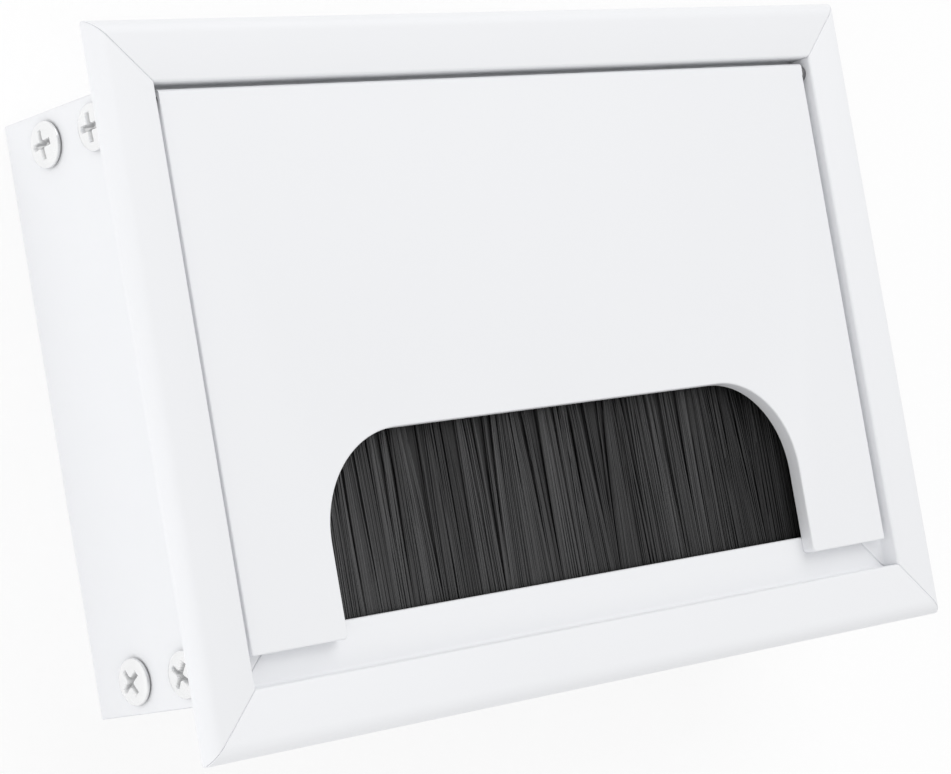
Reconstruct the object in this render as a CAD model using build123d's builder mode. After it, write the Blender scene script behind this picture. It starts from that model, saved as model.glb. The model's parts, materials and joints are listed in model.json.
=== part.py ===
from build123d import *
import os

# Desk cable grommet: a mitred aluminium frame, a hinged flap lid and a brush strip.
# Millimetres. Z = 0 is the lower rim, +Z points out of the desk top, +Y points to the hinge.

# Frame rails
bezel_length = 140.0  # outside of the bezel along X
bezel_width = 95.0  # outside of the bezel along Y
frame_height = 33.0  # lower rim to bezel face
bezel_face = 8.5  # outer edge of the bezel to its opening
flange_thickness = 2.4
shoulder_run = 2.6  # rounded outer shoulder of the bezel, across the face
shoulder_drop = 1.7  # rounded outer shoulder of the bezel, down the edge
opening_round = 0.4  # rounded inner edge of the bezel
wall_thickness = 1.25

# Ledge that carries the lid
recess_depth = 3.1  # bezel face to ledge
ledge_width = 6.5
ledge_thickness = 1.5
ledge_round = 0.3
rear_ledge_width = 3.0  # lower ledge that closes the rear gap from below

# Screws that hold the corners, and the ports they cut their thread in
screw_inset = 4.4  # outer face of a long wall to the screw's axis
upper_screw_depth = 12.3  # bezel face to the upper screws
lower_screw_depth = 23.5  # bezel face to the lower screws
shank_diameter = 3.4
shank_length = 13.0
point_length = 3.0
head_diameter = 6.4
head_height = 1.2
head_edge = 0.4  # straight rim of the head
head_crown_diameter = 4.6  # flat crown inside the head's bevel
recess_span = 4.0  # cross recess, tip to tip
recess_slot = 1.0
recess_sink = 0.8
screw_hole_clearance = 0.2
port_clearance = 0.05
port_wall = 1.3
port_slit = 1.2

# Lid
lid_thickness = 2.2
lid_side_gap = 1.0
lid_rear_gap = 0.75
finger_gap = 4.05  # front edge of the lid to the bezel's opening
lid_corner = 1.0
lid_edge_bevel = 0.3
notch_width = 89.4
notch_depth = 26.5
notch_radius = 14.0

# Hinge
bead_diameter = 2.8
pin_diameter = 1.6
pin_reach = 6.0  # length of a pin inside the lid's bead
pin_end_gap = 0.5
pin_running_clearance = 0.05
pin_seat_clearance = 0.02
bead_relief = 0.4  # room between the bead and the cut-back ledge
bead_floor_gap = 0.3  # room between the bead and the rear ledge

# Brush strip
slot_height = 2.5
slot_lip_height = 0.5
slot_lip_width = 0.8
shelf_thickness = 1.0
channel_headroom = 0.2
channel_side_clearance = 0.15
channel_sheet = 0.45
channel_bend = 0.7
brush_end_gap = 1.0
bristle_thickness = 1.1
bristle_reach = 34.0  # ledge edge to bristle tips
bristle_root_gap = 0.2
core_wire_diameter = 0.7
core_wire_clearance = 0.02
tuft_pitch = 1.2
tuft_gap = 0.3
tuft_base = 1.0  # unsplit band in front of the ledge
tip_scatter = 0.8  # uneven trim of the tips

# Levels and places worked out from the sizes above
flange_underside = frame_height - flange_thickness
wall_outside = bezel_face - wall_thickness
ledge_top = frame_height - recess_depth
ledge_underside = ledge_top - ledge_thickness
ledge_edge = bezel_face + ledge_width
opening_length = bezel_length - 2 * bezel_face
opening_width = bezel_width - 2 * bezel_face

screw_radius = shank_diameter / 2
port_bore = screw_radius + port_clearance
port_radius = port_bore + port_wall
port_centre = wall_outside + screw_inset
screw_levels = [frame_height - upper_screw_depth, frame_height - lower_screw_depth]
screw_y = bezel_width / 2 - port_centre
wall_x = bezel_length / 2 - wall_outside

lid_length = opening_length - 2 * lid_side_gap
lid_front = finger_gap - opening_width / 2
lid_rear = opening_width / 2 - lid_rear_gap
lid_top = ledge_top + lid_thickness
bead_radius = bead_diameter / 2
hinge_y = lid_rear - bead_radius
hinge_z = lid_top - bead_radius
pin_radius = pin_diameter / 2
rear_ledge_top = hinge_z - bead_radius - bead_floor_gap

slot_floor = ledge_underside - slot_height
channel_height = slot_height - channel_headroom
channel_back = bezel_face + channel_side_clearance
channel_front = ledge_edge - slot_lip_width - channel_side_clearance
brush_length = opening_length - 2 * brush_end_gap
brush_level = slot_floor + channel_height / 2
front_edge_y = -bezel_width / 2
wire_y = front_edge_y + channel_back + channel_sheet + bristle_root_gap + bristle_thickness / 2

# Section planes of the four rails: local X runs inward from the outer edge, local Y is up
front_plane = Plane(origin=(0, -bezel_width / 2, 0), x_dir=(0, 1, 0), z_dir=(1, 0, 0))
rear_plane = Plane(origin=(0, bezel_width / 2, 0), x_dir=(0, -1, 0), z_dir=(-1, 0, 0))
left_plane = Plane(origin=(-bezel_length / 2, 0, 0), x_dir=(1, 0, 0), z_dir=(0, -1, 0))
right_plane = Plane(origin=(bezel_length / 2, 0, 0), x_dir=(-1, 0, 0), z_dir=(0, 1, 0))

# Mitre planes at the corners, each facing the long rail that it cuts
mitres = {
    (end, side): Plane(
        origin=(end * bezel_length / 2, side * bezel_width / 2, 0), z_dir=(-end, side, 0)
    )
    for end in (-1, 1)
    for side in (-1, 1)
}


def flange_and_wall():
    with BuildSketch() as section:
        with BuildLine():
            TangentArc((shoulder_run, frame_height), (0, frame_height - shoulder_drop), tangent=(-1, 0))
            Polyline(
                (0, frame_height - shoulder_drop),
                (0, flange_underside),
                (wall_outside, flange_underside),
                (wall_outside, 0),
                (bezel_face, 0),
                (bezel_face, frame_height),
                (shoulder_run, frame_height),
            )
        make_face()
        fillet(section.vertices().sort_by_distance((bezel_face, frame_height))[0], opening_round)
    return section.sketch


def ledge():
    with BuildSketch() as section:
        with Locations((bezel_face, ledge_underside)):
            Rectangle(ledge_width, ledge_thickness, align=(Align.MIN, Align.MIN))
        fillet(section.vertices().sort_by_distance((ledge_edge, ledge_top))[0], ledge_round)
    return section.sketch


def rear_ledge():
    with BuildSketch() as section:
        with Locations((bezel_face, rear_ledge_top)):
            Rectangle(rear_ledge_width, ledge_thickness, align=(Align.MIN, Align.MAX))
    return section.sketch


def screw_ports():
    with BuildSketch() as section:
        for level in screw_levels:
            with Locations((port_centre, level)):
                Circle(port_radius)
            with Locations((bezel_face, level)):
                Rectangle(port_centre - bezel_face, 2 * port_bore, align=(Align.MIN, Align.CENTER))
            with Locations((port_centre, level)):
                Circle(port_bore, mode=Mode.SUBTRACT)
                Rectangle(
                    2 * port_radius, port_slit, align=(Align.MIN, Align.CENTER), mode=Mode.SUBTRACT
                )
    return section.sketch


def brush_slot():
    with BuildSketch() as section:
        with Locations((bezel_face, slot_floor)):
            Rectangle(ledge_width, shelf_thickness, align=(Align.MIN, Align.MAX))
        with Locations((ledge_edge, slot_floor)):
            Rectangle(slot_lip_width, slot_lip_height, align=(Align.MAX, Align.MIN))
        with Locations((ledge_edge, ledge_underside)):
            Rectangle(slot_lip_width, slot_lip_height, align=(Align.MAX, Align.MAX))
    return section.sketch


# Front rail: ledge, slot for the brush strip and screw ports
with BuildPart() as front_rail:
    with BuildSketch(front_plane):
        add(flange_and_wall())
        add(ledge())
        add(brush_slot())
        add(screw_ports())
    extrude(amount=bezel_length / 2, both=True)
    for end in (-1, 1):
        split(bisect_by=mitres[end, -1], keep=Keep.TOP)
front_rail.part.label = "front_rail"

# Rear rail: its ledge lies lower, because the lid's bead turns above it
with BuildPart() as rear_rail:
    with BuildSketch(rear_plane):
        add(flange_and_wall())
        add(rear_ledge())
        add(screw_ports())
    extrude(amount=bezel_length / 2, both=True)
    for end in (-1, 1):
        split(bisect_by=mitres[end, 1], keep=Keep.TOP)
rear_rail.part.label = "rear_rail"


# End rail: ledge cut back at the bead, clearance holes for the screws and a seat for the hinge pin
def end_rail(end, plane):
    with BuildPart() as rail:
        with BuildSketch(plane):
            add(flange_and_wall())
            add(ledge())
        extrude(amount=bezel_width / 2, both=True)
        for side in (-1, 1):
            split(bisect_by=mitres[end, side], keep=Keep.BOTTOM)
        relief_start = hinge_y - bead_radius - bead_relief
        with Locations((end * opening_length / 2, relief_start, ledge_underside)):
            Box(
                2 * ledge_width,
                opening_width / 2 - relief_start,
                ledge_thickness,
                align=(Align.MIN if end < 0 else Align.MAX, Align.MIN, Align.MIN),
                mode=Mode.SUBTRACT,
            )
        wall_middle = end * (wall_x - wall_thickness / 2)
        with BuildSketch(Plane.YZ.offset(wall_middle)):
            for level in screw_levels:
                with Locations((-screw_y, level), (screw_y, level)):
                    Circle(screw_radius + screw_hole_clearance)
            with Locations((hinge_y, hinge_z)):
                Circle(pin_radius + pin_seat_clearance)
        extrude(amount=wall_thickness, both=True, mode=Mode.SUBTRACT)
    return rail.part


left_rail = end_rail(-1, left_plane)
left_rail.label = "left_rail"
right_rail = end_rail(1, right_plane)
right_rail.label = "right_rail"

# Lid: plate with a rounded cable notch in its front edge and a hinge bead along its rear edge
with BuildPart() as lid:
    with BuildSketch(Plane.XY.offset(ledge_top)) as lid_outline:
        with Locations((0, lid_front)):
            Rectangle(lid_length, hinge_y - lid_front, align=(Align.CENTER, Align.MIN))
            Rectangle(notch_width, notch_depth, align=(Align.CENTER, Align.MIN), mode=Mode.SUBTRACT)
        notch_corners = lid_outline.vertices().group_by(Axis.Y)[1]
        fillet(notch_corners, notch_radius)
        leg_corners = lid_outline.vertices().group_by(Axis.Y)[0]
        fillet(leg_corners, lid_corner)
    extrude(amount=lid_thickness)
    with BuildSketch(Plane.YZ):
        with Locations((hinge_y, hinge_z)):
            Circle(bead_radius)
    extrude(amount=lid_length / 2, both=True)
    top_face = lid.faces().filter_by(Axis.Z).sort_by(Axis.Z)[-1]
    chamfer(top_face.edges().sort_by(Axis.Y)[:-1], lid_edge_bevel)
    for end in (-1, 1):
        bore_depth = pin_reach + pin_end_gap
        with BuildSketch(Plane.YZ.offset(end * lid_length / 2)):
            with Locations((hinge_y, hinge_z)):
                Circle(pin_radius + pin_running_clearance)
        extrude(amount=-end * bore_depth, mode=Mode.SUBTRACT)
lid.part.label = "lid"


# Hinge pin: flush with the outside of its end rail, free to turn in the lid's bead
def hinge_pin(end):
    pin_length = wall_thickness + lid_side_gap + pin_reach
    with BuildPart() as pin:
        with BuildSketch(Plane.YZ.offset(end * wall_x)):
            with Locations((hinge_y, hinge_z)):
                Circle(pin_radius)
        extrude(amount=-end * pin_length)
    return pin.part


hinge_pin_left = hinge_pin(-1)
hinge_pin_left.label = "hinge_pin_left"
hinge_pin_right = hinge_pin(1)
hinge_pin_right.label = "hinge_pin_right"

# Brush channel: strip folded into a U, open towards the bristles
with BuildPart() as brush_channel:
    channel_depth = channel_front - channel_back
    with BuildSketch(front_plane) as channel_section:
        with Locations((channel_back, slot_floor)):
            Rectangle(channel_depth, channel_height, align=(Align.MIN, Align.MIN))
        fillet(channel_section.vertices().group_by(Axis.X)[0], channel_bend)
        with Locations((channel_back + channel_sheet, slot_floor + channel_sheet)):
            Rectangle(
                channel_depth,
                channel_height - 2 * channel_sheet,
                align=(Align.MIN, Align.MIN),
                mode=Mode.SUBTRACT,
            )
    extrude(amount=brush_length / 2, both=True)
brush_channel.part.label = "brush_channel"

# Core wire that the bristles are folded round
with BuildPart() as brush_core_wire:
    with BuildSketch(Plane.YZ):
        with Locations((wire_y, brush_level)):
            Circle(core_wire_diameter / 2)
    extrude(amount=brush_length / 2, both=True)
brush_core_wire.part.label = "brush_core_wire"

# Bristles: a row of tufts with unevenly trimmed tips, folded round the core wire
tuft_count = int(brush_length / tuft_pitch)
tuft_start = -tuft_count * tuft_pitch / 2
tuft_root_y = front_edge_y + ledge_edge + tuft_base
tip_y = front_edge_y + ledge_edge + bristle_reach
tuft_points = []
for tuft in range(tuft_count):
    tuft_left = tuft_start + tuft * tuft_pitch + tuft_gap / 2
    tuft_right = tuft_left + tuft_pitch - tuft_gap
    tuft_tip = tip_y - tip_scatter * (tuft * 5 % 7) / 6
    tuft_points += [
        (tuft_left, tuft_root_y),
        (tuft_left, tuft_tip),
        (tuft_right, tuft_tip),
        (tuft_right, tuft_root_y),
    ]
with BuildPart() as brush_bristles:
    with BuildSketch(Plane.XY.offset(brush_level)):
        with BuildLine():
            Polyline(
                (-brush_length / 2, wire_y),
                (-brush_length / 2, tuft_root_y),
                *tuft_points,
                (brush_length / 2, tuft_root_y),
                (brush_length / 2, wire_y),
                close=True,
            )
        make_face()
    extrude(amount=bristle_thickness / 2, both=True)
    with BuildSketch(Plane.YZ):
        with Locations((wire_y, brush_level)):
            Circle(bristle_thickness / 2)
    extrude(amount=brush_length / 2, both=True)
    with BuildSketch(Plane.YZ):
        with Locations((wire_y, brush_level)):
            Circle(core_wire_diameter / 2 + core_wire_clearance)
    extrude(amount=brush_length, both=True, mode=Mode.SUBTRACT)
brush_bristles.part.label = "brush_bristles"

# Pan-head screw: head up, the head's seat at Z = 0
with BuildPart() as screw:
    with BuildSketch(Plane.XZ):
        with BuildLine():
            Polyline(
                (0, head_height),
                (head_crown_diameter / 2, head_height),
                (head_diameter / 2, head_edge),
                (head_diameter / 2, 0),
                (screw_radius, 0),
                (screw_radius, point_length - shank_length),
                (0, -shank_length),
                close=True,
            )
        make_face()
    revolve(axis=Axis.Z)
    with BuildSketch(Plane.XY.offset(head_height)):
        Rectangle(recess_span, recess_slot)
        Rectangle(recess_slot, recess_span)
    extrude(amount=-recess_sink, mode=Mode.SUBTRACT)

# The screws of both end rails, heads outward
with BuildPart() as frame_screws:
    for end in (-1, 1):
        for level in screw_levels:
            with Locations(
                Location((end * wall_x, -screw_y, level), (0, end * 90, 0)),
                Location((end * wall_x, screw_y, level), (0, end * 90, 0)),
            ):
                add(screw.part)
frame_screws.part.label = "frame_screws"

os.makedirs("parts", exist_ok=True)
export_step(front_rail.part, "parts/front_rail.step")
export_step(rear_rail.part, "parts/rear_rail.step")
export_step(left_rail, "parts/left_rail.step")
export_step(right_rail, "parts/right_rail.step")
export_step(lid.part, "parts/lid.step")
export_step(hinge_pin_left, "parts/hinge_pin_left.step")
export_step(hinge_pin_right, "parts/hinge_pin_right.step")
export_step(brush_channel.part, "parts/brush_channel.step")
export_step(brush_core_wire.part, "parts/brush_core_wire.step")
export_step(brush_bristles.part, "parts/brush_bristles.step")
export_step(frame_screws.part, "parts/frame_screws.step")
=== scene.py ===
import json
import bpy
import numpy as np
from mathutils import Matrix, Vector


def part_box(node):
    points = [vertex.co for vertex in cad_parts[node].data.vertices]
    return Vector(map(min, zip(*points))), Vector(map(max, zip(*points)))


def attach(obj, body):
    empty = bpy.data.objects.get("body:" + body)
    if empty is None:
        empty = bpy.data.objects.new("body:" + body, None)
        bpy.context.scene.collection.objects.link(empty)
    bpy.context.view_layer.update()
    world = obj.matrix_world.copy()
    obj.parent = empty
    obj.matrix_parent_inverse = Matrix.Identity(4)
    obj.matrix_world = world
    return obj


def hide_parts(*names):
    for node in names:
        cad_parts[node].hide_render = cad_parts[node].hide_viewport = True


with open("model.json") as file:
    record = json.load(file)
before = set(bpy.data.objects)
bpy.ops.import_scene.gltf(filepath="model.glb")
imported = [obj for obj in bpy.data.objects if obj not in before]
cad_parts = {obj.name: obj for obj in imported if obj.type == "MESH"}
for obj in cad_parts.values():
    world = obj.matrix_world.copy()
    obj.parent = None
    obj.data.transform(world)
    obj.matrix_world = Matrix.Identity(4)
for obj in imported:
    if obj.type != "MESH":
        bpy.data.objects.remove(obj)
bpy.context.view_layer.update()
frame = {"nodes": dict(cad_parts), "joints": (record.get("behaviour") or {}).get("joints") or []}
mm = 0.001
print("frame loaded:", len(frame["nodes"]), "nodes")

# places read from the frame, in millimetres
frontLow, frontHigh = (np.array(corner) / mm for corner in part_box("front_rail"))
lidLow, lidHigh = (np.array(corner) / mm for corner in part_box("lid"))
bezelHalf = {"long": frontHigh[0], "short": -frontLow[1]}  # half of the bezel along X and along Y
faceLevel = frontHigh[2]
ledgeEdge = frontHigh[1] - frontLow[1]  # outer bezel edge to the ledge's inner edge
hinge = frame["joints"][0]
hingeY, hingeZ = hinge["pos_m"][1] / mm, hinge["pos_m"][2] / mm


# corner rows are (a, b, reach): a corner with a reach becomes a round arc that starts and ends
# that far from it, worked out as a rational quadratic curve with weight cos(half the turn)
def easeCorners(rows, steps=6):
    rows = np.asarray(rows, float)
    points, reach = rows[:, :2], rows[:, 2:3]
    toPrevious = np.roll(points, 1, axis=0) - points
    toNext = np.roll(points, -1, axis=0) - points
    toPrevious /= np.linalg.norm(toPrevious, axis=1, keepdims=True)
    toNext /= np.linalg.norm(toNext, axis=1, keepdims=True)
    cosTurn = -(toPrevious * toNext).sum(axis=1)
    weight = np.sqrt((1 + cosTurn.clip(-0.99, 1)) / 2)[:, None, None]  # the clip keeps a hairpin finite
    u = np.linspace(0, 1, steps + 1)[None, :, None]
    start = (points + toPrevious * reach)[:, None]
    end = (points + toNext * reach)[:, None]
    blend = (1 - u) ** 2 * start + 2 * u * (1 - u) * weight * points[:, None] + u ** 2 * end
    curve = blend / ((1 - u) ** 2 + 2 * u * (1 - u) * weight + u ** 2)
    keep = (reach > 0) | (np.arange(steps + 1)[None, :] == 0)
    return curve[keep]


# outward normals of a closed loop that runs anticlockwise: the mean of its two edge normals
def loopNormals(loop):
    edges = np.roll(loop, -1, axis=0) - loop
    normals = np.stack([edges[:, 1], -edges[:, 0]], axis=1)
    normals /= np.linalg.norm(normals, axis=1, keepdims=True)
    mean = normals + np.roll(normals, 1, axis=0)
    return mean / (mean * normals).sum(axis=1, keepdims=True).clip(0.5)  # no spike at a sharp corner


# quads between neighbouring rings of a grid of rings, each ring closed on itself
def ringQuads(ringCount, ringSize, first=0):
    ring, step = np.meshgrid(np.arange(ringCount - 1), np.arange(ringSize), indexing="ij")
    after = (step + 1) % ringSize
    quads = np.stack([ring * ringSize + step, ring * ringSize + after,
                      (ring + 1) * ringSize + after, (ring + 1) * ringSize + step], axis=-1)
    return (quads.reshape(-1, 4) + first).tolist()


# a surface of rings from pole to pole: rings is (count, size, 3), the poles are single points
def poleSurface(rings, firstPole, lastPole):
    count, size = rings.shape[:2]
    points = np.vstack([[firstPole], rings.reshape(-1, 3), [lastPole]])
    step = np.arange(size)
    after = (step + 1) % size
    last = (count - 1) * size + 1
    fanIn = np.stack([np.zeros(size, int), after + 1, step + 1], axis=1).tolist()
    fanOut = np.stack([np.full(size, len(points) - 1), last + step, last + after], axis=1).tolist()
    return points, fanIn + ringQuads(count, size, 1) + fanOut


def finishShading(mesh, smoothAngle):
    mesh.polygons.foreach_set("use_smooth", np.ones(len(mesh.polygons), bool))
    mesh.set_sharp_from_angle(angle=np.radians(smoothAngle))
    mesh.update()


# points are in millimetres, and the object stays at the origin
def makePiece(name, points, faces, material, smoothAngle=30):
    mesh = bpy.data.meshes.new(name)
    mesh.from_pydata((np.asarray(points) * mm).tolist(), [], faces)
    mesh.materials.append(material)
    finishShading(mesh, smoothAngle)
    piece = bpy.data.objects.new(name, mesh)
    bpy.context.scene.collection.objects.link(piece)
    return piece


# cuts or joins tool pieces with a piece, and keeps the result in the piece's own mesh
def carve(piece, tools, operation, smoothAngle=30):
    for tool in tools:
        step = piece.modifiers.new("carve", "BOOLEAN")
        step.operation = operation
        step.solver = "EXACT"
        step.object = tool
    bpy.context.view_layer.update()
    depsgraph = bpy.context.evaluated_depsgraph_get()
    result = bpy.data.meshes.new_from_object(piece.evaluated_get(depsgraph))
    piece.modifiers.clear()
    piece.data = result
    finishShading(result, smoothAngle)
    for tool in tools:
        bpy.data.objects.remove(tool)


# shader node helpers
def addNode(tree, kind, **sockets):
    node = tree.nodes.new(kind)
    for key, value in sockets.items():
        node.inputs[key.replace("_", " ")].default_value = value
    return node


# mixes two colours by a factor: each is a plain colour or the output of another node
def mixColours(tree, factor, first, second):
    mix = tree.nodes.new("ShaderNodeMix")
    mix.data_type = "RGBA"
    tree.links.new(factor, mix.inputs[0])
    for socket, colour in ((mix.inputs[6], first), (mix.inputs[7], second)):  # its colour sockets A and B
        if isinstance(colour, tuple):
            socket.default_value = (*colour, 1)
        else:
            tree.links.new(colour, socket)
    return mix.outputs[2]


# carries a value from 0..1 to low..high
def mapRange(tree, value, low, high):
    node = addNode(tree, "ShaderNodeMapRange", To_Min=low, To_Max=high)
    tree.links.new(value, node.inputs["Value"])
    return node.outputs["Result"]


def addGroup(name, inputs, outputs):
    group = bpy.data.node_groups.new(name, "ShaderNodeTree")
    for label, kind, value in inputs:
        socket = group.interface.new_socket(label, in_out="INPUT", socket_type=kind)
        socket.default_value = value
    for label, kind in outputs:
        group.interface.new_socket(label, in_out="OUTPUT", socket_type=kind)
    return group, group.nodes.new("NodeGroupInput"), group.nodes.new("NodeGroupOutput")


# fine grain shared by the finishes: two noises of different size, given as a height and a slow tone
def makeGrainGroup():
    group, source, sink = addGroup(
        "surfaceGrain",
        [("Fine Scale", "NodeSocketFloat", 1000.0), ("Slow Scale", "NodeSocketFloat", 40.0)],
        [("Height", "NodeSocketFloat"), ("Tone", "NodeSocketFloat")])
    coords = group.nodes.new("ShaderNodeTexCoord")
    fine = addNode(group, "ShaderNodeTexNoise", Detail=2.0, Roughness=0.55)
    slow = addNode(group, "ShaderNodeTexNoise", Detail=3.0, Roughness=0.5)
    for noise, label in ((fine, "Fine Scale"), (slow, "Slow Scale")):
        group.links.new(coords.outputs["Object"], noise.inputs["Vector"])
        group.links.new(source.outputs[label], noise.inputs["Scale"])
    group.links.new(fine.outputs["Fac"], sink.inputs["Height"])
    group.links.new(slow.outputs["Fac"], sink.inputs["Tone"])
    return group


grainGroup = makeGrainGroup()


# a finish whose colour and roughness drift with the slow tone and whose bump is the fine grain;
# a look with a painted shade colour darkens, as painted shade, where the piece's own painted shade attribute
# says so
def makeFinish(name, look):
    material = bpy.data.materials.new(name)
    material.use_nodes = True
    tree = material.node_tree
    shader = tree.nodes["Principled BSDF"]
    shader.inputs["Metallic"].default_value = look["metallic"]
    grain = tree.nodes.new("ShaderNodeGroup")
    grain.node_tree = grainGroup
    grain.inputs["Fine Scale"].default_value = look["fineScale"]
    grain.inputs["Slow Scale"].default_value = look["slowScale"]
    tone = grain.outputs["Tone"]
    colour = mixColours(tree, tone, look["darkColour"], look["lightColour"])
    # painted shade: the colour darkens where the attribute marks shade in hollows
    if "paintedShadeColour" in look:
        paintedShade = tree.nodes.new("ShaderNodeAttribute")
        paintedShade.attribute_name = "paintedShade"
        colour = mixColours(tree, paintedShade.outputs["Fac"], colour, look["paintedShadeColour"])
    tree.links.new(colour, shader.inputs["Base Color"])
    tree.links.new(mapRange(tree, tone, *look["roughness"]), shader.inputs["Roughness"])
    bump = addNode(tree, "ShaderNodeBump", Strength=look["bumpStrength"], Distance=look["bumpHeight"] * mm)
    tree.links.new(grain.outputs["Height"], bump.inputs["Height"])
    tree.links.new(bump.outputs["Normal"], shader.inputs["Normal"])
    return material


powderWhite = makeFinish("powderWhite", {
    "metallic": 0.0, "darkColour": (0.845, 0.853, 0.873), "lightColour": (0.868, 0.875, 0.894),
    "roughness": (0.40, 0.50), "fineScale": 2600.0, "slowScale": 22.0,
    "bumpStrength": 0.25, "bumpHeight": 0.02})
zincBright = makeFinish("zincBright", {
    "metallic": 1.0, "darkColour": (0.78, 0.785, 0.79), "lightColour": (0.93, 0.935, 0.94),
    "roughness": (0.16, 0.30), "fineScale": 3500.0, "slowScale": 260.0,
    "bumpStrength": 0.2, "bumpHeight": 0.01})
# the screws' finish carries painted shade in the cross recess and in the seam under the rim
screwZinc = makeFinish("screwZinc", {
    "metallic": 1.0, "darkColour": (0.9, 0.905, 0.91), "lightColour": (0.985, 0.988, 0.99),
    "roughness": (0.18, 0.32), "fineScale": 3500.0, "slowScale": 260.0,
    "bumpStrength": 0.2, "bumpHeight": 0.01, "paintedShadeColour": (0.15, 0.15, 0.155)})
darkSteel = makeFinish("darkSteel", {
    "metallic": 1.0, "darkColour": (0.15, 0.15, 0.155), "lightColour": (0.26, 0.26, 0.265),
    "roughness": (0.30, 0.42), "fineScale": 3500.0, "slowScale": 260.0,
    "bumpStrength": 0.2, "bumpHeight": 0.01})

# rails: a section (distance in from the bezel's edge, level) carried along the rail to its mitres
rail = {
    "flange": 2.4, "flangeEdgeRound": 0.28, "flangeLowRound": 0.2, "flangeFillet": 0.3,
    "shoulderDrop": 1.7, "shoulderCorner": 0.746, "shoulderRound": 1.55, "openingRound": 0.4,
    "bezelFace": 8.5, "wall": 1.25, "recess": 3.1, "edgeRound": 0.18,
    "ledge": 1.5, "ledgeRound": 0.288, "ledgeFillet": 0.5,
    "rearLedge": 3.0, "rearLedgeDrop": 0.9, "rearLedgeFillet": 0.3,
    "screwInset": 4.4, "screwDepths": (12.3, 23.5), "portBore": 1.75, "portWall": 1.3, "portSlit": 1.2,
    "slotHeight": 2.5, "slotLip": 0.5, "slotLipWidth": 0.8, "shelf": 1.0,
    "mitreRound": 0.18, "mitreGap": 0.018, "mitreSteps": 4, "ledgeMitre": 1.2, "hiddenMitre": 0.55,
}
wallOutside = rail["bezelFace"] - rail["wall"]
flangeUnderside = faceLevel - rail["flange"]
ledgeTop = faceLevel - rail["recess"]
ledgeUnderside = ledgeTop - rail["ledge"]
slotFloor = ledgeUnderside - rail["slotHeight"]
portCentre = wallOutside + rail["screwInset"]
screwLevels = [faceLevel - depth for depth in rail["screwDepths"]]


# open ring on a short web: outer arc up to the slit, back round the bore, then the outer arc again
def portRows(level, steps=14):
    bore, outer = rail["portBore"], rail["portBore"] + rail["portWall"]
    webAngle = np.pi - np.arcsin(bore / outer)
    slitOuter, slitInner = (np.arcsin(rail["portSlit"] / 2 / radius) for radius in (outer, bore))
    angles = np.concatenate([np.linspace(-webAngle, -slitOuter, steps),
                             np.linspace(-slitInner, slitInner - 2 * np.pi, steps),
                             np.linspace(slitOuter, webAngle, steps)])
    radii = np.repeat([outer, bore, outer], steps)
    inward, upward = portCentre + radii * np.cos(angles), level + radii * np.sin(angles)
    ring = np.stack([inward, upward, 0 * angles], axis=1)
    return np.vstack([[(rail["bezelFace"], level - bore, 0)], ring, [(rail["bezelFace"], level + bore, 0)]])


# the section's corners, anticlockwise from the foot of the wall, each with its round
def railSection(withLedge, withPorts, withSlot):
    soft, face, edge = rail["edgeRound"], rail["bezelFace"], ledgeEdge
    rows = [np.array([(wallOutside, 0, soft), (face, 0, soft)])]
    if withPorts:
        rows += [portRows(level) for level in sorted(screwLevels)]
    if withSlot:
        lipBack = edge - rail["slotLipWidth"]
        shelfLow = slotFloor - rail["shelf"]
        lowLip, highLip = slotFloor + rail["slotLip"], ledgeUnderside - rail["slotLip"]
        rows.append(np.array([
            (face, shelfLow, soft), (edge, shelfLow, soft), (edge, lowLip, soft),
            (lipBack, lowLip, soft), (lipBack, slotFloor, 0), (face, slotFloor, 0),
            (face, ledgeUnderside, 0), (lipBack, ledgeUnderside, 0),
            (lipBack, highLip, soft), (edge, highLip, soft)]))
    if not withLedge:
        high, rearEdge = ledgeTop - rail["rearLedgeDrop"], face + rail["rearLedge"]
        low = high - rail["ledge"]
        rows.append(np.array([(face, low, 0), (rearEdge, low, soft), (rearEdge, high, soft),
                              (face, high, rail["rearLedgeFillet"])]))
    elif not withSlot:
        rows.append(np.array([(face, ledgeUnderside, 0), (edge, ledgeUnderside, soft)]))
    if withLedge:
        rows.append(np.array([(edge, ledgeTop, rail["ledgeRound"]), (face, ledgeTop, rail["ledgeFillet"])]))
    rows.append(np.array([
        (face, faceLevel, rail["openingRound"]), (rail["shoulderCorner"], faceLevel, rail["shoulderRound"]),
        (0, faceLevel - rail["shoulderDrop"], rail["flangeEdgeRound"]),
        (0, flangeUnderside, rail["flangeLowRound"]), (wallOutside, flangeUnderside, rail["flangeFillet"])]))
    return easeCorners(np.vstack(rows))


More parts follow.
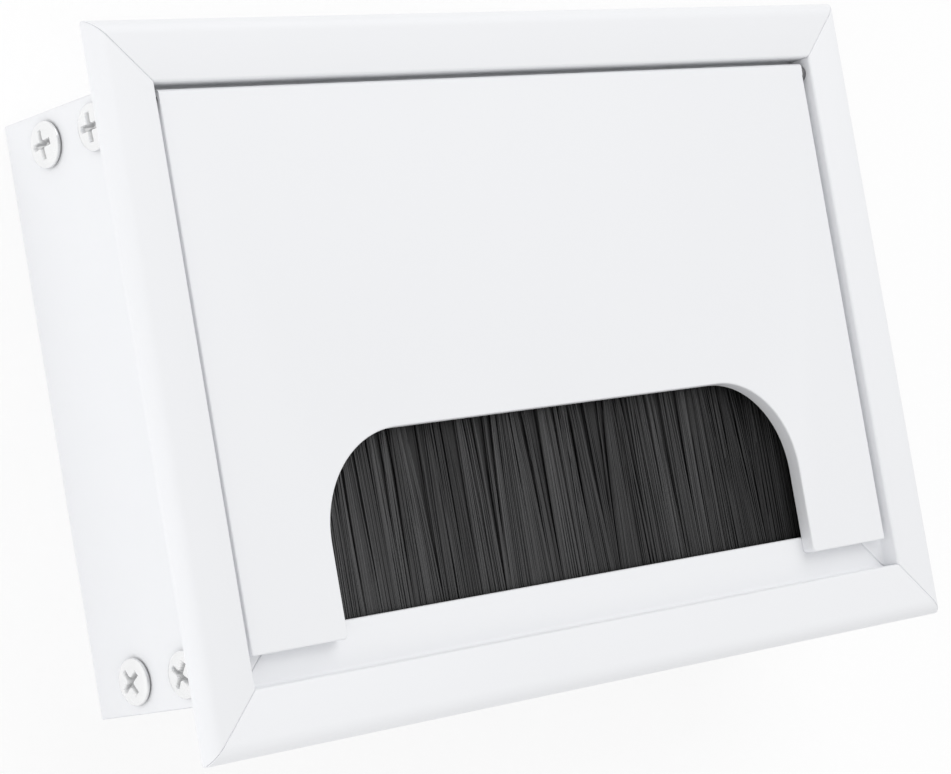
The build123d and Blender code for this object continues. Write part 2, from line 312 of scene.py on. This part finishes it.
# the section runs between two mitre planes: along = half length - distance in, and next to each plane
# it is drawn in on a quarter round, which leaves a fine groove between neighbouring bezels
def makeRail(name, section, halfLength, offset, quarterTurns):
    turn = np.linspace(0, np.pi / 2, rail["mitreSteps"])[:, None]
    onLedge = np.abs(section[:, 1] - ledgeTop) <= rail["ledgeFillet"]
    share = np.where(section[:, 1] > ledgeTop, 1, rail["hiddenMitre"])
    share = np.where(onLedge & (section[:, 0] > rail["bezelFace"]), rail["ledgeMitre"], share)
    drawIn = rail["mitreRound"] * share * (1 - np.sin(turn))
    setBack = share * (rail["mitreGap"] + rail["mitreRound"] * (1 - np.cos(turn))) * np.sqrt(2)
    shapes = section[None] - loopNormals(section)[None] * drawIn[:, :, None]
    reach = halfLength - shapes[:, :, 0] - setBack
    along = np.concatenate([-reach, reach[::-1]])
    inward = np.concatenate([shapes, shapes[::-1]])[:, :, 0] - offset
    level = np.concatenate([shapes, shapes[::-1]])[:, :, 1]
    cosTurn, sinTurn = [(1, 0), (0, 1), (-1, 0), (0, -1)][quarterTurns]
    x, y = along * cosTurn - inward * sinTurn, along * sinTurn + inward * cosTurn
    points = np.stack([x, y, level], axis=-1)
    size, last = len(section), (len(along) - 1) * len(section)
    faces = ringQuads(len(along), size)
    faces.append(list(range(size))[::-1])
    faces.append(list(range(last, last + size)))
    return makePiece(name, points.reshape(-1, 3), faces, powderWhite)


# plain closed cylinder along X between two places, for cutting
def cylinderTool(radius, fromX, toX, y, z, sides=48):
    angle = np.linspace(0, 2 * np.pi, sides, endpoint=False)
    ring = np.stack([0 * angle, y + radius * np.cos(angle), z + radius * np.sin(angle)], axis=1)
    rings = np.stack([ring + (fromX, 0, 0), ring + (toX, 0, 0)])
    return makePiece("tool", *poleSurface(rings, (fromX, y, z), (toX, y, z)), powderWhite)


# plain box between two corners, for cutting
def boxTool(low, high):
    corner = np.array([(0, 0, 0), (1, 0, 0), (1, 1, 0), (0, 1, 0),
                       (0, 0, 1), (1, 0, 1), (1, 1, 1), (0, 1, 1)])
    points = np.asarray(low) + corner * (np.asarray(high) - low)
    faces = [(3, 2, 1, 0), (4, 5, 6, 7), (0, 1, 5, 4), (1, 2, 6, 5), (2, 3, 7, 6), (3, 0, 4, 7)]
    return makePiece("tool", points, faces, powderWhite)


endCuts = {
    "screwHole": 1.9, "pinSeat": 0.82, "beadRelief": 0.4, "beadRadius": 1.4,
    "overrun": 1.0, "ledgeShare": 1.5, "ledgeBelow": 0.5, "ledgeAbove": 0.01,  # tools pass the metal by these
}
screwY = bezelHalf["short"] - portCentre
wallX = bezelHalf["long"] - wallOutside


# an end rail has screw holes, a pin seat and a ledge that stops short of the lid's bead
def cutEndRail(piece, end):
    outside, inside = end * (wallX + endCuts["overrun"]), end * (wallX - rail["wall"] - endCuts["overrun"])
    fromX, toX = min(outside, inside), max(outside, inside)
    tools = [cylinderTool(endCuts["screwHole"], fromX, toX, y, level)
             for y in (-screwY, screwY) for level in screwLevels]
    tools.append(cylinderTool(endCuts["pinSeat"], fromX, toX, hingeY, hingeZ))
    openingX = end * (bezelHalf["long"] - rail["bezelFace"])
    ledgeX = openingX - end * endCuts["ledgeShare"] * (ledgeEdge - rail["bezelFace"])
    reliefY = hingeY - endCuts["beadRadius"] - endCuts["beadRelief"]
    tools.append(boxTool((min(openingX, ledgeX), reliefY, ledgeUnderside - endCuts["ledgeBelow"]),
                         (max(openingX, ledgeX), bezelHalf["short"], ledgeTop + endCuts["ledgeAbove"])))
    carve(piece, tools, "DIFFERENCE")


frontRail = makeRail("frontRail", railSection(True, True, True), bezelHalf["long"], bezelHalf["short"], 0)
rearRail = makeRail("rearRail", railSection(False, True, False), bezelHalf["long"], bezelHalf["short"], 2)
leftRail = makeRail("leftRail", railSection(True, False, False), bezelHalf["short"], bezelHalf["long"], 3)
rightRail = makeRail("rightRail", railSection(True, False, False), bezelHalf["short"], bezelHalf["long"], 1)
cutEndRail(leftRail, -1)
cutEndRail(rightRail, 1)
for piece, node in ((frontRail, "front_rail"), (rearRail, "rear_rail"),
                    (leftRail, "left_rail"), (rightRail, "right_rail")):
    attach(piece, "frame")
    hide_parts(node)
print("rails done")

# lid: an edge profile carried round the plan outline, joined to a bead turned about the hinge line
lid = {
    "thickness": 2.2, "corner": 0.35, "notchCorner": 0.7, "topRound": 0.25, "underRound": 0.15,
    "notchWidth": 89.4, "notchDepth": 26.5, "notchRadius": 14.0, "cornerSteps": 24, "roundSteps": 6,
    "beadRadius": 1.398, "beadCorner": 0.6, "beadRound": 0.18, "beadSides": 96,
    "boreRadius": 0.85, "boreDepth": 6.5, "boreChamfer": 0.1,
}


# reach of the bead from the hinge line: round, but a square with a small round at its upper rear corner,
# where the arc's reach r solves r^2 - 2 r d (cos + sin) + 2 d^2 = corner^2
def beadReach(turn):
    radius, corner = lid["beadRadius"], lid["beadCorner"]
    inner = radius - corner
    across, up = np.cos(turn), np.sin(turn)
    longer, shorter = np.maximum(across, up), np.minimum(across, up)
    mean = inner * (across + up)
    arc = mean + np.sqrt((mean ** 2 - 2 * inner ** 2 + corner ** 2).clip(0))
    square = np.where(radius * shorter > inner * longer, arc, radius / longer.clip(0.5))
    return np.where(shorter > 0, square, radius)


def makeLid():
    half, front = lidHigh[0], lidLow[1]
    notchHalf, notchTop = lid["notchWidth"] / 2, front + lid["notchDepth"]
    outline = easeCorners([
        (-half, hingeY, 0), (-half, front, lid["corner"]), (-notchHalf, front, lid["notchCorner"]),
        (-notchHalf, notchTop, lid["notchRadius"]), (notchHalf, notchTop, lid["notchRadius"]),
        (notchHalf, front, lid["notchCorner"]), (half, front, lid["corner"]), (half, hingeY, 0)],
        steps=lid["cornerSteps"])
    normals = loopNormals(outline)
    normals[0], normals[-1] = (-1, 0), (1, 0)  # the rear edge runs square into the bead
    quarter = np.linspace(0, np.pi / 2, lid["roundSteps"])
    under, over = lid["underRound"], lid["topRound"]
    insets = np.concatenate([under * (1 - np.sin(quarter)), over * (1 - np.cos(quarter))])
    levels = np.concatenate([under * (1 - np.cos(quarter)), lid["thickness"] - over * (1 - np.sin(quarter))])
    loops = outline[None] - insets[:, None, None] * normals[None]
    height = np.broadcast_to((ledgeTop + levels)[:, None, None], (*loops.shape[:2], 1))
    points = np.concatenate([loops, height], axis=2)
    size = len(outline)
    faces = ringQuads(len(insets), size)
    faces.append(list(range(size))[::-1])
    faces.append(list(range((len(insets) - 1) * size, len(insets) * size)))
    plate = makePiece("lidPlate", points.reshape(-1, 3), faces, powderWhite)

    turn = np.linspace(0, 2 * np.pi, lid["beadSides"], endpoint=False) + np.pi / 2
    rim, bore, chamfer = lid["beadRound"], lid["boreRadius"], lid["boreChamfer"]
    endX = -half + np.concatenate([[lid["boreDepth"], chamfer, 0], rim * (1 - np.sin(quarter))])
    boreR = np.array([bore, bore, bore + chamfer])[:, None] + 0 * turn
    endR = np.vstack([boreR, beadReach(turn) - rim * (1 - np.cos(np.pi / 2 - quarter))[:, None]])
    alongX = np.concatenate([endX, -endX[::-1]])
    radii = np.vstack([endR, endR[::-1]])
    rings = np.stack([np.broadcast_to(alongX[:, None], (len(alongX), len(turn))),
                      hingeY + radii * np.cos(turn), hingeZ + radii * np.sin(turn)], axis=-1)
    poles = [(-half + lid["boreDepth"], hingeY, hingeZ), (half - lid["boreDepth"], hingeY, hingeZ)]
    bead = makePiece("bead", *poleSurface(rings, *poles), powderWhite)
    carve(plate, [bead], "UNION")
    return plate


lidPlate = makeLid()
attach(lidPlate, "lid")
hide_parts("lid")
print("lid done")

# hinge pins: a radius carried along the hinge line, with a collar against the end rail, in the lid's side gap
pin = {
    "collarRadius": 1.25, "collarWidth": 0.6, "collarPlay": 0.03,
    "edgeRound": 0.12, "endRound": 0.2, "sides": 48,
}


def makePin(name, node):
    low, high = (np.array(corner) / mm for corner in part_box(node))
    radius, side = (high[1] - low[1]) / 2, np.sign(low[0])
    near, far = sorted(np.abs([low[0], high[0]]))
    collarEnd = bezelHalf["long"] - rail["bezelFace"] - pin["collarPlay"]
    collarStart, collar, soft = collarEnd - pin["collarWidth"], pin["collarRadius"], pin["edgeRound"]
    rows = easeCorners([
        (near, 0, 0), (far, 0, 0), (far, radius, pin["endRound"]), (collarEnd, radius, 0),
        (collarEnd, collar, soft), (collarStart, collar, soft),
        (collarStart, radius, 0), (near, radius, pin["endRound"])])[2:]  # without the two points on the axis
    along, reach = (rows[::-1] if side > 0 else rows * (-1, 1)).T[:, :, None]
    turn = np.linspace(0, 2 * np.pi, pin["sides"], endpoint=False)
    y, z = hingeY + reach * np.cos(turn), hingeZ + reach * np.sin(turn)
    rings = np.stack([along + 0 * turn, y, z], axis=-1)
    ends = [(value, hingeY, hingeZ) for value in (low[0], high[0])]
    return makePiece(name, *poleSurface(rings, *ends), darkSteel)


for name, node in (("hingePinLeft", "hinge_pin_left"), ("hingePinRight", "hinge_pin_right")):
    piece = makePin(name, node)
    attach(piece, "frame")
    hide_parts(node)
print("hinge pins done")

# screws: rings about the axis whose radius and height both vary with the angle,
# a low flattened crown less a tapering cross recess, then the rim and a threaded shank
screw = {
    "headRadius": 3.2, "headHeight": 1.2, "rimHeight": 0.45, "rimRound": 0.12, "rimLow": 0.33,
    "undercut": 0.15, "domeReach": 1.01, "domePowers": (4, 0.5),
    "recessSpan": 4.0, "recessSlot": 0.95, "recessHeart": 1.1, "recessSlope": 2.6, "recessDepth": 1.35,
    "floorRise": 0.62, "floorLeast": 0.2, "recessMargins": (0.12, 0.3),
    "coreRadius": 1.35, "threadRadius": 1.68, "pitch": 1.3, "neck": 1.25, "length": 13.0, "point": 3.0,
    "tipShare": 0.03, "poleRadius": 0.06, "recessRings": 36, "crownRings": 8, "shankRings": 60,
    # painted shade in the cross recess, growing with depth, and in the seam under the rim; the shank a little
    # darker
    "recessShade": 0.34, "recessShadeDepth": 0.6, "rimShade": (0.35, 0.7, 0.85), "shankDarkening": 0.15,
    "sides": 96, "turns": (0.95, 0.62, 0.03, 0.1, 0.5, 1.2, 0.0, 0.65),
}


def screwShape():
    angle = np.linspace(0, 2 * np.pi, screw["sides"], endpoint=False)
    crownEdge, half = screw["headRadius"] - screw["rimRound"], screw["recessSpan"] / 2
    innerMargin, outerMargin = screw["recessMargins"]
    reach = np.concatenate([np.linspace(screw["poleRadius"], half + innerMargin, screw["recessRings"]),
                            np.linspace(half + outerMargin, crownEdge, screw["crownRings"])])[:, None]
    x, y = np.abs(reach * np.cos(angle)), np.abs(reach * np.sin(angle))
    inner, outer = screw["domePowers"]
    dome = (1 - (reach / (screw["domeReach"] * screw["headRadius"])) ** inner) ** outer
    crown = screw["rimHeight"] + (screw["headHeight"] - screw["rimHeight"]) * dome
    arm = np.minimum(screw["recessSlot"] / 2 - np.minimum(x, y), half - np.maximum(x, y))
    heart = (screw["recessHeart"] - x - y) / np.sqrt(2)
    floor = screw["recessDepth"] * (1 - screw["floorRise"] * reach / half).clip(screw["floorLeast"])
    recess = np.minimum(screw["recessSlope"] * np.maximum(arm, heart).clip(0), floor)
    # the thread is a triangle wave of depth and angle, squared for a sharp crest
    depths = np.linspace(screw["neck"], screw["length"], screw["shankRings"])
    shankZ = -np.concatenate([[0.0], depths])[:, None]
    thread = 1 - np.abs(2 * np.mod(-shankZ / screw["pitch"] - angle / (2 * np.pi), 1) - 1)
    taper = ((screw["length"] + shankZ) / screw["point"]).clip(screw["tipShare"], 1)
    shank = taper * (screw["coreRadius"] + (screw["threadRadius"] - screw["coreRadius"]) * thread ** 2)
    shank[:2] = screw["coreRadius"]  # plain neck under the head
    rimRadius = screw["headRadius"] - np.array([0.0, 0.0, screw["undercut"]])[:, None]
    rimLevel = np.array([screw["rimHeight"] - screw["rimRound"] / 2, screw["rimLow"], 0.0])[:, None]
    ones = np.ones_like(angle)
    radius = np.vstack([reach * ones, rimRadius * ones, shank])
    height = np.vstack([crown - recess, rimLevel * ones, shankZ * ones])
    rings = np.stack([radius * np.cos(angle), radius * np.sin(angle), height], axis=-1)[::-1]
    tip, recessFloor = (0, 0, -screw["length"]), (0, 0, screw["headHeight"] - screw["recessDepth"])
    points, faces = poleSurface(rings, tip, recessFloor)
    # painted shade lies in the recess, darker with depth, and in the seam under the rim
    inRecess = screw["recessShade"] * (recess / screw["recessShadeDepth"]).clip(0, 1)
    rimShade = np.array(screw["rimShade"])[:, None] * ones
    paintedShade = np.vstack([inRecess, rimShade, np.full_like(shank, screw["shankDarkening"])])[::-1]
    return points, faces, np.concatenate([[screw["shankDarkening"]], paintedShade.ravel(), [screw["recessShade"]]])


def makeScrews():
    shape, shapeFaces, paintedShade = screwShape()
    seats = [(end, side, level) for end in (-1, 1) for side in (-1, 1) for level in screwLevels]
    points, faces = [], []
    for (end, side, level), turn in zip(seats, screw["turns"]):
        across = shape[:, 0] * np.cos(turn) - shape[:, 1] * np.sin(turn)
        upward = shape[:, 0] * np.sin(turn) + shape[:, 1] * np.cos(turn)
        outward = end * (wallX + shape[:, 2])
        placed = np.stack([outward, side * screwY + across, level + end * upward], axis=1)
        faces += [[index + len(points) * len(shape) for index in face] for face in shapeFaces]
        points.append(placed)
    piece = makePiece("frameScrews", np.vstack(points), faces, screwZinc, smoothAngle=38)
    attribute = piece.data.attributes.new("paintedShade", "FLOAT", "POINT")
    attribute.data.foreach_set("value", np.tile(paintedShade, len(seats)).astype(np.float32))
    return piece


frameScrews = makeScrews()
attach(frameScrews, "frame")
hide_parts("frame_screws")
print("screws done")

# bristles: each strand is a thin square-section hair along +Y, in an upper layer that gathers into clumps,
# with t from 0 at the root to 1 at the tip: side = start + (tuft middle - start) * pull * t^tuftPower
# + (bunch middle - start) * draw * t^bunchPower + lean * t^leanPower + a sine wave along t,
# where tufts are narrow and bunches wide, over an even lower layer darkened with painted shade
bristle = {
    "count": 3500, "lowerShare": 0.5, "jitter": (0.05, 0.01), "seed": 7,
    "radius": 0.125, "tipTaper": 0.75, "stations": 7, "tipScatter": 1.1,
    "tuftWidth": (0.5, 1.7), "tuftPull": (0.3, 0.95), "pullSpread": (0.6, 1.2), "tuftPower": 1.5,
    "bunchWidth": (2.5, 9.0), "bunchDraw": (0.15, 0.55), "bunchPower": 2, "mostGroups": 300,
    "tuftLean": 0.5, "bunchLean": 0.75, "endLeans": (0.0, -1.2), "leanPower": 1.4, "strandDrift": 0.13,
    "strayShare": 0.04, "strayLean": 0.9, "waveHeight": 0.06, "waveTurns": (0.6, 1.7),
    "upperLevels": (-0.45, 0.5), "lowerLevels": (-1.0, -0.85),
    # painted light and shade: the tone rises towards the left end and falls towards the right end
    "tone": 0.27, "paintedEndShading": (0.36, -0.36), "toneShape": (0.9, 2.0), "toneMiddle": 0.31,
    # the lower layer's tone is cut down as painted shade
    "strandTone": 0.8, "tuftTone": 0.15, "bunchTone": 0.12, "lowerLayerShade": 0.1, "rootSpread": 0.3,
}
nylon = {
    "darkColour": (0.004, 0.004, 0.0045), "lightColour": (0.095, 0.095, 0.097), "roughness": (0.38, 0.2),
}
bristleLow, bristleHigh = (np.array(corner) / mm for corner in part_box("brush_bristles"))


# paler and glossier with the strand's tone, which also carries painted light and shade
def makeNylon():
    material = bpy.data.materials.new("blackNylon")
    material.use_nodes = True
    tree = material.node_tree
    shader = tree.nodes["Principled BSDF"]
    tone = tree.nodes.new("ShaderNodeAttribute")
    tone.attribute_name = "strandTone"
    strandTone = tone.outputs["Fac"]
    colour = mixColours(tree, strandTone, nylon["darkColour"], nylon["lightColour"])
    tree.links.new(colour, shader.inputs["Base Color"])
    tree.links.new(mapRange(tree, strandTone, *nylon["roughness"]), shader.inputs["Roughness"])
    return material


blackNylon = makeNylon()


# splits the row of strands into groups of uneven width: the group of each strand, its middle, and the count
def gather(rng, startX, lowX, highX, widths):
    edges = lowX + np.cumsum(rng.uniform(*widths, bristle["mostGroups"]))
    edges = np.concatenate([[lowX], edges[edges < highX], [highX]])
    group = np.searchsorted(edges[1:-1], startX)
    return group, (edges[:-1] + edges[1:])[group] / 2, len(edges) - 1


def makeBristles():
    rng = np.random.default_rng(bristle["seed"])
    count, stations, radius = bristle["count"], bristle["stations"], bristle["radius"]
    lowX, highX = bristleLow[0] + 2 * radius, bristleHigh[0] - 2 * radius
    lowerCount = int(count * bristle["lowerShare"])
    startX = np.concatenate([np.linspace(lowX, highX, lowerCount),
                             np.linspace(lowX, highX, count - lowerCount)])
    upper = np.arange(count) >= lowerCount
    startX += np.where(upper, *bristle["jitter"]) * rng.normal(0, 1, count)

    tuft, tuftX, tuftCount = gather(rng, startX, lowX, highX, bristle["tuftWidth"])
    bunch, bunchX, bunchCount = gather(rng, startX, lowX, highX, bristle["bunchWidth"])
    pull = upper * rng.uniform(*bristle["tuftPull"], tuftCount)[tuft]
    pull = pull * rng.uniform(*bristle["pullSpread"], count)
    draw = upper * rng.uniform(*bristle["bunchDraw"], bunchCount)[bunch]
    lean = upper * (np.interp(startX, (lowX, highX), bristle["endLeans"])
                    + rng.normal(0, bristle["bunchLean"], bunchCount)[bunch]
                    + rng.normal(0, bristle["tuftLean"], tuftCount)[tuft]
                    + rng.normal(0, bristle["strandDrift"], count)
                    + (rng.uniform(0, 1, count) < bristle["strayShare"])
                    * rng.normal(0, bristle["strayLean"], count))
    wave = upper * rng.normal(0, bristle["waveHeight"], count)
    waveTurns = 2 * np.pi * rng.uniform(*bristle["waveTurns"], count)[:, None]
    length = bristleHigh[1] - bristleLow[1] - bristle["tipScatter"] * rng.uniform(0, 1, count) ** 2

    t = np.linspace(0, 1, stations)
    x = startX[:, None] + ((tuftX - startX) * pull)[:, None] * t ** bristle["tuftPower"]
    x = x + ((bunchX - startX) * draw)[:, None] * t ** bristle["bunchPower"]
    x = x + lean[:, None] * t ** bristle["leanPower"]
    x = (x + wave[:, None] * np.sin(waveTurns * t)).clip(bristleLow[0] + radius, bristleHigh[0] - radius)
    y = bristleLow[1] + length[:, None] * t
    midZ, halfZ = (bristleLow[2] + bristleHigh[2]) / 2, (bristleHigh[2] - bristleLow[2]) / 2 - radius
    level = midZ + halfZ * np.where(upper, rng.uniform(*bristle["upperLevels"], count),
                                    rng.uniform(*bristle["lowerLevels"], count))

    # four corners round each station, rolled by a random angle, and thinner towards the tip
    roll = rng.uniform(0, np.pi / 2, count)[:, None] + np.arange(4) * np.pi / 2
    thick = radius * (1 - (1 - bristle["tipTaper"]) * t ** 3)
    sideX = x[:, :, None] + thick[None, :, None] * np.cos(roll)[:, None, :]
    sideZ = level[:, None, None] + thick[None, :, None] * np.sin(roll)[:, None, :]
    sideY = np.broadcast_to(y[:, :, None], sideX.shape)
    points = np.stack([sideX, sideY, sideZ], axis=-1).reshape(-1, 3)
    size = 4 * stations
    sideQuads = np.array(ringQuads(stations, 4))[:, ::-1]
    strand = np.vstack([sideQuads, [[0, 1, 2, 3], [size - 1, size - 2, size - 3, size - 4]]])
    faces = (strand[None] + (np.arange(count) * size)[:, None, None]).reshape(-1, 4)
    piece = makePiece("bristles", points, faces.tolist(), blackNylon, smoothAngle=100)

    # painted light and shade make the tones fall from the left end to the right; they are alike at the roots
    # and spread towards the tips
    spread = (bristle["strandTone"] * (rng.beta(*bristle["toneShape"], count) - bristle["toneMiddle"])
              + rng.normal(0, bristle["tuftTone"], tuftCount)[tuft]
              + rng.normal(0, bristle["bunchTone"], bunchCount)[bunch])
    # painted light towards the left end and painted shade towards the right end
    tone = bristle["tone"] + np.interp(startX, (lowX, highX), bristle["paintedEndShading"])[:, None]
    tone = tone + spread[:, None] * (bristle["rootSpread"] + (1 - bristle["rootSpread"]) * t)
    # painted shade darkens the lower layer
    tone = (tone * np.where(upper, 1, bristle["lowerLayerShade"])[:, None]).clip(0, 1)
    attribute = piece.data.attributes.new("strandTone", "FLOAT", "POINT")
    attribute.data.foreach_set("value", np.repeat(tone, 4).astype(np.float32))
    return piece


bristles = makeBristles()
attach(bristles, "frame")
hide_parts("brush_bristles")
print("bristles done")

# the brush strip's channel and wire keep their own solids
for node in ("brush_channel", "brush_core_wire"):
    materials = frame["nodes"][node].data.materials
    materials.clear()
    materials.append(zincBright)


# floor, light and camera
stage = {
    "floorSize": 6.0, "floorLevel": -0.00002, "floorColour": (0.95, 0.95, 0.95, 1),
    "floorRoughness": 0.9, "floorGlow": 0.8, "worldLevel": 0.7,
}
lamps = [
    {"name": "leftStrip", "place": (-0.5, 0.0, 0.02), "size": (0.5, 0.03), "power": 0.35, "mirrored": False},
    {"name": "leftSoft", "place": (-0.62, -0.42, 0.52), "size": (0.8, 0.8), "power": 1.5, "mirrored": False},
    {"name": "keySoft", "place": (0.3, 0.6, 0.78), "size": (0.9, 0.9), "power": 3.6, "mirrored": True},
]
view = {
    "eye": (-311.73, -27.71, 365.26), "target": (-16.53, -4.62, 33.0), "up": (0.0924, 0.9843, 0.1506),
    "focalPixels": 3286.3, "imageWidth": 951, "sensor": 36.0,
}


# 1 for rays that show the surface itself: straight from the camera, mirrored, or seen through something
def seenRays(tree):
    rays = tree.nodes.new("ShaderNodeLightPath")
    total = rays.outputs["Is Camera Ray"]
    for label in ("Is Glossy Ray", "Is Transmission Ray"):
        either = tree.nodes.new("ShaderNodeMath")
        either.operation = "MAXIMUM"
        tree.links.new(total, either.inputs[0])
        tree.links.new(rays.outputs[label], either.inputs[1])
        total = either.outputs[0]
    return total


# white where it is seen directly, and it still takes the object's shadow
def makeFloor():
    half, level = stage["floorSize"] / 2, stage["floorLevel"]
    mesh = bpy.data.meshes.new("floor")
    corners = [(-half, -half, level), (half, -half, level), (half, half, level), (-half, half, level)]
    mesh.from_pydata(corners, [], [(0, 1, 2, 3)])
    material = bpy.data.materials.new("paleFloor")
    material.use_nodes = True
    tree = material.node_tree
    shader = tree.nodes["Principled BSDF"]
    shader.inputs["Base Color"].default_value = stage["floorColour"]
    shader.inputs["Roughness"].default_value = stage["floorRoughness"]
    seen = seenRays(tree)
    share = addNode(tree, "ShaderNodeMath")
    share.operation = "MULTIPLY"
    share.inputs[1].default_value = stage["floorGlow"]
    tree.links.new(seen, share.inputs[0])
    glow = addNode(tree, "ShaderNodeEmission", Strength=1.0)
    mix = tree.nodes.new("ShaderNodeMixShader")
    tree.links.new(share.outputs[0], mix.inputs[0])
    tree.links.new(shader.outputs[0], mix.inputs[1])
    tree.links.new(glow.outputs[0], mix.inputs[2])
    tree.links.new(mix.outputs[0], tree.nodes["Material Output"].inputs["Surface"])
    mesh.materials.append(material)
    floor = bpy.data.objects.new("floor", mesh)
    bpy.context.scene.collection.objects.link(floor)


# white to the eye and in mirrors, and dimmer as a light
def makeWorld():
    world = bpy.data.worlds.new("studio")
    world.use_nodes = True
    tree = world.node_tree
    background = tree.nodes["Background"]
    background.inputs["Color"].default_value = (1, 1, 1, 1)
    level = mapRange(tree, seenRays(tree), stage["worldLevel"], 1.0)
    tree.links.new(level, background.inputs["Strength"])
    bpy.context.scene.world = world


# a soft rectangle that faces the origin
def makeLamp(lamp):
    data = bpy.data.lights.new(lamp["name"], "AREA")
    data.energy = lamp["power"]
    data.shape = "RECTANGLE"
    data.size, data.size_y = lamp["size"]
    light = bpy.data.objects.new(lamp["name"], data)
    light.visible_glossy = lamp["mirrored"]
    light.location = lamp["place"]
    light.rotation_euler = (-Vector(lamp["place"])).to_track_quat("-Z", "Y").to_euler()
    bpy.context.scene.collection.objects.link(light)


# right, up and back make the camera's axes, and the lens follows from the focal length in pixels
def makeCamera():
    data = bpy.data.cameras.new("camera")
    data.sensor_width = view["sensor"]
    data.lens = view["focalPixels"] * view["sensor"] / view["imageWidth"]
    camera = bpy.data.objects.new("camera", data)
    eye = Vector(view["eye"])
    back = (eye - Vector(view["target"])).normalized()
    right = Vector(view["up"]).cross(back).normalized()
    up = back.cross(right)
    camera.matrix_world = Matrix.Translation(eye * mm) @ Matrix((right, up, back)).transposed().to_4x4()
    bpy.context.scene.collection.objects.link(camera)
    bpy.context.scene.camera = camera


makeFloor()
makeWorld()
for lamp in lamps:
    makeLamp(lamp)
makeCamera()
bpy.context.scene.view_settings.view_transform = "Standard"
print("stage done")
